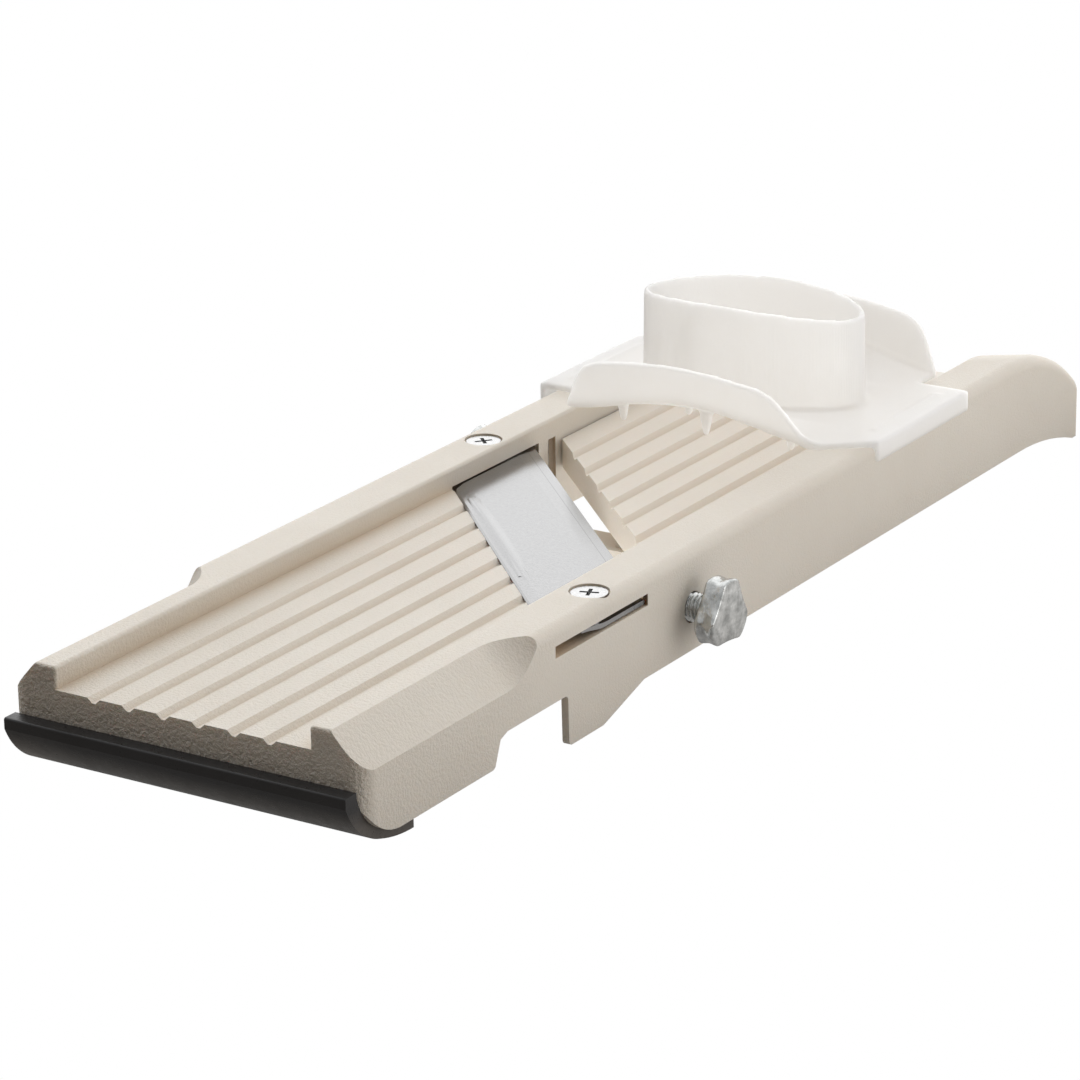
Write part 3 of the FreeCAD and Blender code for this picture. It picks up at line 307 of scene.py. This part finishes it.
def screw_thread(name, node, body, mat, origin, axis, side, length, crest, pitch, tip):
    """Threaded rod: a right-handed helix cut into a bar, chamfered at its tip."""
    cols, per = 48, 12
    rows = int(length / pitch * per) + 1
    root = crest - 0.58 * pitch
    other = axis.cross(side)
    verts, faces = [], []
    for i in range(rows):
        h = length * i / (rows - 1)
        for j in range(cols):
            turn = j / cols
            t_ = (h / pitch - turn) % 1.0
            tooth = min(1.0, max(0.0, abs(t_ - 0.5) * 2.6 - 0.16))
            r = root + (crest - root) * tooth
            if h < tip:
                r = min(r, root - 0.15 + (crest - root + 0.15) * h / tip)
            a = 2 * math.pi * turn
            verts.append((origin + axis * h + (side * math.cos(a) + other * math.sin(a)) * r) / 1000.0)
    for i in range(rows - 1):
        for j in range(cols):
            k = (j + 1) % cols
            faces.append((i * cols + j, i * cols + k, (i + 1) * cols + k, (i + 1) * cols + j))
    faces.append(tuple(reversed(range(cols))))
    faces.append(tuple((rows - 1) * cols + j for j in range(cols)))
    me = bpy.data.meshes.new(name)
    me.from_pydata([tuple(v) for v in verts], [], faces)
    me.update()
    for f in me.polygons:
        f.use_smooth = len(f.vertices) == 4
    me.materials.append(mat)
    o = bpy.data.objects.new(name, me)
    scene.collection.objects.link(o)
    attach(o, body)
    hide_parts(node)
    return o


def spot(x, y, z):
    return Vector((x, y + SHIFT_Y, z + SHIFT_Z))


X, Y, Z = Vector((1, 0, 0)), Vector((0, 1, 0)), Vector((0, 0, 1))
screw_thread("right_clamp_thread", "right_clamp_stud", "right_clamp", ZINC, spot(38.1, 132.6, -8.9), X, Y, 16.3, 3.45, 1.0, 0.9)
screw_thread("left_clamp_thread", "left_clamp_stud", "left_clamp", ZINC, spot(-38.1, 199.6, -8.9), -X, Y, 16.3, 3.45, 1.0, 0.9)

screw_thread("adjuster_thread", "adjuster_stud", "adjuster", ZINC, spot(8.0, 172.0, -7.6), -Z, X, 12.8, 2.95, 1.0, 0.9)


def lobed_head(name, node, body, mat, origin, axis, side, thick, lobe, flat):
    """Cast three-lobed head: rounded lobes, hollow flanks, soft rims."""
    other = axis.cross(side)

    def arc(p, q, r, n):
        # points on the circle through three plan points, end left out
        (x1, y1), (x2, y2), (x3, y3) = p, q, r
        d = 2 * (x1 * (y2 - y3) + x2 * (y3 - y1) + x3 * (y1 - y2))
        ux = ((x1 * x1 + y1 * y1) * (y2 - y3) + (x2 * x2 + y2 * y2) * (y3 - y1) + (x3 * x3 + y3 * y3) * (y1 - y2)) / d
        uy = ((x1 * x1 + y1 * y1) * (x3 - x2) + (x2 * x2 + y2 * y2) * (x1 - x3) + (x3 * x3 + y3 * y3) * (x2 - x1)) / d
        rad = math.hypot(x1 - ux, y1 - uy)
        a0, a1, a2 = (math.atan2(y - uy, x - ux) for x, y in (p, q, r))
        turn1 = (a1 - a0 + math.pi) % (2 * math.pi) - math.pi
        turn2 = (a2 - a1 + math.pi) % (2 * math.pi) - math.pi
        total = turn1 + turn2
        return [(ux + rad * math.cos(a0 + total * i / n), uy + rad * math.sin(a0 + total * i / n)) for i in range(n)]

    def polar(r, deg):
        return (r * math.cos(math.radians(deg)), r * math.sin(math.radians(deg)))

    plan = []
    for i in range(3):
        mid = 85.0 + 120.0 * i
        plan += arc(polar(lobe, mid - 23.5), polar(lobe, mid), polar(lobe, mid + 23.5), 22)
        plan += arc(polar(lobe, mid + 23.5), polar(flat, mid + 60.0), polar(lobe, mid + 96.5), 34)
    n = len(plan)
    for _ in range(7):
        plan = [((plan[i - 1][0] + 2 * plan[i][0] + plan[(i + 1) % n][0]) / 4, (plan[i - 1][1] + 2 * plan[i][1] + plan[(i + 1) % n][1]) / 4) for i in range(n)]
    outs = []
    for i in range(n):
        dx, dy = plan[(i + 1) % n][0] - plan[i - 1][0], plan[(i + 1) % n][1] - plan[i - 1][1]
        ln = math.hypot(dx, dy)
        outs.append((dy / ln, -dx / ln))
    soft = 0.55
    rows = []
    for j in range(6):
        a = math.radians(18.0 * j)
        rows.append((soft * (1 - math.sin(a)) * 1.0, soft * (1 - math.cos(a)), 1.0))
    rows = [(inset, h, 1.0) for inset, h, _ in rows]
    walls = [(0.0, soft + (thick - 2 * soft) * j / 10.0, 1.0) for j in range(1, 10)]
    top = [(i_, thick - h_, 1.0) for i_, h_, _ in reversed(rows)]
    rings = rows + walls + top
    verts, faces = [], []

    def put(px, py, h):
        rough = 0.03 * math.sin(1.9 * px + 0.7 * h) * math.sin(2.3 * py - 1.1 * h + 0.6)
        verts.append((origin + axis * (h + rough * 0.6) + side * px * (1 + rough * 0.01) + other * py * (1 + rough * 0.01)) / 1000.0)

    for inset, h, _ in rings:
        u = min(1.0, max(0.0, (h - soft) / (thick - 2 * soft)))
        for i in range(n):
            far = math.hypot(*plan[i])
            waist = 0.32 * math.sin(math.pi * u) ** 2 * min(1.0, max(0.0, (far - flat) / (lobe - flat)))
            px = plan[i][0] - outs[i][0] * (inset + waist)
            py = plan[i][1] - outs[i][1] * (inset + waist)
            put(px, py, h)
    count = len(rings)
    for j in range(count - 1):
        for i in range(n):
            k = (i + 1) % n
            faces.append((j * n + i, j * n + k, (j + 1) * n + k, (j + 1) * n + i))

    def close(base, h, flip):
        prev = base
        for shrink in (0.97, 0.8, 0.6, 0.4, 0.2):
            start = len(verts)
            for i in range(n):
                px = (plan[i][0] - outs[i][0] * soft) * shrink
                py = (plan[i][1] - outs[i][1] * soft) * shrink
                put(px, py, h)
            for i in range(n):
                k = (i + 1) % n
                f = (prev + i, prev + k, start + k, start + i)
                faces.append(tuple(reversed(f)) if flip else f)
            prev = start
        tip = len(verts)
        put(0.0, 0.0, h)
        for i in range(n):
            k = (i + 1) % n
            f = (prev + i, prev + k, tip)
            faces.append(tuple(reversed(f)) if flip else f)

    close((count - 1) * n, thick, False)
    close(0, 0.0, True)
    me = bpy.data.meshes.new(name)
    me.from_pydata([tuple(v) for v in verts], [], faces)
    me.update()
    for f in me.polygons:
        f.use_smooth = True
    me.materials.append(mat)
    o = bpy.data.objects.new(name, me)
    scene.collection.objects.link(o)
    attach(o, body)
    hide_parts(node)
    return o


lobed_head("right_clamp_grip", "right_clamp_head", "right_clamp", ZINC, spot(50.8, 132.6, -8.9), X, Y, 5.2, 8.25, 6.35)
lobed_head("left_clamp_grip", "left_clamp_head", "left_clamp", ZINC, spot(-50.8, 199.6, -8.9), -X, -Y, 5.2, 8.25, 6.35)



def blade_bead(name, body, mat):
    """Pressed stiffening bead: a low soft ridge along the back of the blade."""
    along = (X - Y) / math.sqrt(2.0)
    across = (X + Y) / math.sqrt(2.0)
    mid = spot(-4.7, 129.5, 0.3)
    nu, nv, reach = 160, 40, 32.0
    verts, faces = [], []

    def width(u):
        # narrower towards both ends
        return 0.7 + 1.7 * math.sqrt(max(0.0, 1 - (u / reach) ** 2))

    def face(v):
        # the blade falls away towards its back edge
        return min(0.0, 0.1042 * (v + 0.07))

    for i in range(nu + 1):
        u = reach * (2.0 * i / nu - 1.0)
        half = width(u)
        tall = 0.34 * (1 - (u / 31.4) ** 2)
        for j in range(nv + 1):
            v = half * (2.0 * j / nv - 1.0)
            verts.append((mid + along * u + across * v + Z * (face(v) + (tall + 0.008) * math.cos(math.pi * v / (2 * half)) ** 2 - 0.008)) / 1000.0)
    top = len(verts)
    for i in range(nu + 1):
        u = reach * (2.0 * i / nu - 1.0)
        half = width(u)
        for j in range(nv + 1):
            v = half * (2.0 * j / nv - 1.0)
            verts.append((mid + along * u + across * v + Z * (face(v) - 0.25)) / 1000.0)
    w = nv + 1
    for i in range(nu):
        for j in range(nv):
            a = i * w + j
            faces.append((a, a + w, a + w + 1, a + 1))
            faces.append((top + a, top + a + 1, top + a + w + 1, top + a + w))
    rim = [j for j in range(nv)] + [i * w + nv for i in range(nu)] + [nu * w + j for j in range(nv, 0, -1)] + [i * w for i in range(nu, 0, -1)]
    for q, a in enumerate(rim):
        b = rim[(q + 1) % len(rim)]
        faces.append((a, b, top + b, top + a))
    me = bpy.data.meshes.new(name)
    me.from_pydata([tuple(v) for v in verts], [], faces)
    me.update()
    count = nu * nv * 2
    for f in me.polygons:
        f.use_smooth = f.index < count and f.index % 2 == 0
    me.materials.append(mat)
    o = bpy.data.objects.new(name, me)
    scene.collection.objects.link(o)
    bm = bmesh.new()
    bm.from_mesh(me)
    bmesh.ops.recalc_face_normals(bm, faces=bm.faces)
    bm.to_mesh(me)
    bm.free()
    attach(o, body)
    return o


blade_bead("blade_bead", "frame", BLADE)

# the moulded guard has soft rims and filleted feet: an even skin, then eased
g = NODES["finger_guard"]
g.visible_shadow = False
g.visible_diffuse = False
skin = g.modifiers.new("skin", "REMESH")
skin.mode = "VOXEL"
skin.voxel_size = 0.00055
skin.use_smooth_shade = True
ease = g.modifiers.new("ease", "SMOOTH")
ease.factor = 0.5
ease.iterations = 11


# ------------------------------------------------------------------- stage
def floor():
    me = bpy.data.meshes.new("floor")
    me.from_pydata([(-6, -6, 0), (6, -6, 0), (6, 8, 0), (-6, 8, 0)], [], [(0, 1, 2, 3)])
    o = bpy.data.objects.new("floor", me)
    scene.collection.objects.link(o)
    mat = bpy.data.materials.new("floor")
    mat.use_nodes = True
    t = mat.node_tree
    t.nodes.clear()
    out = t.nodes.new("ShaderNodeOutputMaterial")
    dif = t.nodes.new("ShaderNodeBsdfDiffuse")
    dif.inputs["Color"].default_value = (0.13, 0.108, 0.085, 1)
    # the sweep is bright to the right and behind and falls off towards the front
    co = t.nodes.new("ShaderNodeTexCoord")
    sep = t.nodes.new("ShaderNodeSeparateXYZ")
    t.links.new(co.outputs["Object"], sep.inputs[0])

    def ramp(axis, lo, hi):
        mr = t.nodes.new("ShaderNodeMapRange")
        mr.interpolation_type = "SMOOTHSTEP"
        mr.inputs["From Min"].default_value = lo
        mr.inputs["From Max"].default_value = hi
        t.links.new(sep.outputs[axis], mr.inputs["Value"])
        return mr.outputs[0]

    def calc(op, one, two):
        n = t.nodes.new("ShaderNodeMath")
        n.operation = op
        for val, sock in ((one, n.inputs[0]), (two, n.inputs[1])):
            if hasattr(val, "is_linked"):
                t.links.new(val, sock)
            else:
                sock.default_value = val
        return n.outputs[0]

    def patch(x0, x1, y0, y1, soft, gain):
        sides = [ramp("X", x0 - soft, x0), ramp("X", x1 + soft, x1), ramp("Y", y0 - soft, y0), ramp("Y", y1 + soft, y1)]
        return calc("MULTIPLY", calc("MULTIPLY", calc("MULTIPLY", sides[0], sides[1]), calc("MULTIPLY", sides[2], sides[3])), gain)

    wide = calc("MULTIPLY", calc("MAXIMUM", ramp("X", -0.02, 0.15), ramp("Y", 0.10, 0.35)), ramp("Y", -0.45, 0.05))
    below = calc("MAXIMUM", patch(-0.036, 0.036, -0.062, 0.010, 0.008, 1.7), patch(-0.040, 0.040, -0.075, 0.145, 0.006, 0.95))
    below = calc("MAXIMUM", below, patch(-0.050, 0.050, -0.192, -0.150, 0.006, 0.20))
    lp = t.nodes.new("ShaderNodeLightPath")
    # reflections see a paler floor all round
    amount = calc("MAXIMUM", calc("MAXIMUM", wide, below), calc("MULTIPLY", lp.outputs["Is Glossy Ray"], 0.20))
    glow = t.nodes.new("ShaderNodeEmission")
    t.links.new(amount, glow.inputs["Strength"])
    lit = t.nodes.new("ShaderNodeAddShader")
    t.links.new(dif.outputs[0], lit.inputs[0])
    t.links.new(glow.outputs[0], lit.inputs[1])
    em = t.nodes.new("ShaderNodeEmission")
    em.inputs["Strength"].default_value = 1.0
    mix = t.nodes.new("ShaderNodeMixShader")
    t.links.new(lp.outputs["Is Camera Ray"], mix.inputs[0])
    t.links.new(lit.outputs[0], mix.inputs[1])
    t.links.new(em.outputs[0], mix.inputs[2])
    t.links.new(mix.outputs[0], out.inputs["Surface"])
    me.materials.append(mat)
    return o


floor()

world = bpy.data.worlds.new("world")
scene.world = world
world.use_nodes = True
wt = world.node_tree
# a wide soft studio: brightest behind and above, dim in front of the object
sky = wt.nodes.new("ShaderNodeTexCoord")
dot = wt.nodes.new("ShaderNodeVectorMath")
dot.operation = "DOT_PRODUCT"
dot.inputs[1].default_value = (-0.42, 0.95, 0.50)
wt.links.new(sky.outputs["Generated"], dot.inputs[0])
lift = wt.nodes.new("ShaderNodeMath")
lift.operation = "ADD"
lift.inputs[1].default_value = 0.56
wt.links.new(dot.outputs["Value"], lift.inputs[0])
level = wt.nodes.new("ShaderNodeMath")
level.operation = "MAXIMUM"
wt.links.new(lift.outputs[0], level.inputs[0])
# a faint fill in front, stronger in reflections so that metal isn't black from behind
path = wt.nodes.new("ShaderNodeLightPath")
axes = wt.nodes.new("ShaderNodeSeparateXYZ")
wt.links.new(sky.outputs["Generated"], axes.inputs[0])
high = wt.nodes.new("ShaderNodeMapRange")
high.inputs["From Min"].default_value = 0.12
high.inputs["From Max"].default_value = 0.40
high.inputs["To Min"].default_value = 0.22
high.inputs["To Max"].default_value = 0.70
wt.links.new(axes.outputs["Z"], high.inputs["Value"])
fill = wt.nodes.new("ShaderNodeMapRange")
fill.inputs["To Min"].default_value = 0.02
wt.links.new(path.outputs["Is Glossy Ray"], fill.inputs["Value"])
wt.links.new(high.outputs[0], fill.inputs["To Max"])
wt.links.new(fill.outputs[0], level.inputs[1])
wt.links.new(level.outputs[0], wt.nodes["Background"].inputs["Strength"])
tint = wt.nodes.new("ShaderNodeValToRGB")
tint.color_ramp.elements[0].position = 0.08
tint.color_ramp.elements[0].color = (1.0, 0.80, 0.60, 1)
tint.color_ramp.elements[1].position = 0.65
tint.color_ramp.elements[1].color = (1.0, 1.0, 1.0, 1)
wt.links.new(level.outputs[0], tint.inputs["Fac"])
wt.links.new(tint.outputs["Color"], wt.nodes["Background"].inputs["Color"])
# plain white where the backdrop itself is seen past the floor
plain = wt.nodes.new("ShaderNodeBackground")
plain.inputs["Color"].default_value = (1.0, 1.0, 1.0, 1)
seen = wt.nodes.new("ShaderNodeMixShader")
wt.links.new(path.outputs["Is Camera Ray"], seen.inputs[0])
wt.links.new(wt.nodes["Background"].outputs[0], seen.inputs[1])
wt.links.new(plain.outputs[0], seen.inputs[2])
wt.links.new(seen.outputs[0], wt.nodes["World Output"].inputs["Surface"])


def softbox(name, loc, target, size, power):
    ld = bpy.data.lights.new(name, "AREA")
    ld.shape = "RECTANGLE"
    ld.size, ld.size_y = size
    ld.energy = power
    o = bpy.data.objects.new(name, ld)
    scene.collection.objects.link(o)
    d = Vector(target) - Vector(loc)
    o.matrix_world = Matrix.Translation(Vector(loc)) @ d.to_track_quat("-Z", "Y").to_matrix().to_4x4()
    return o


softbox("fill_right", (1.0, 0.15, 0.24), (0.0, 0.0, 0.02), (0.7, 0.4), 1.4)
softbox("back_low", (-0.35, 1.25, 0.14), (0.0, 0.08, 0.045), (0.9, 0.16), 1.6).visible_glossy = False

scene.view_settings.view_transform = "Standard"
scene.view_settings.look = "None"
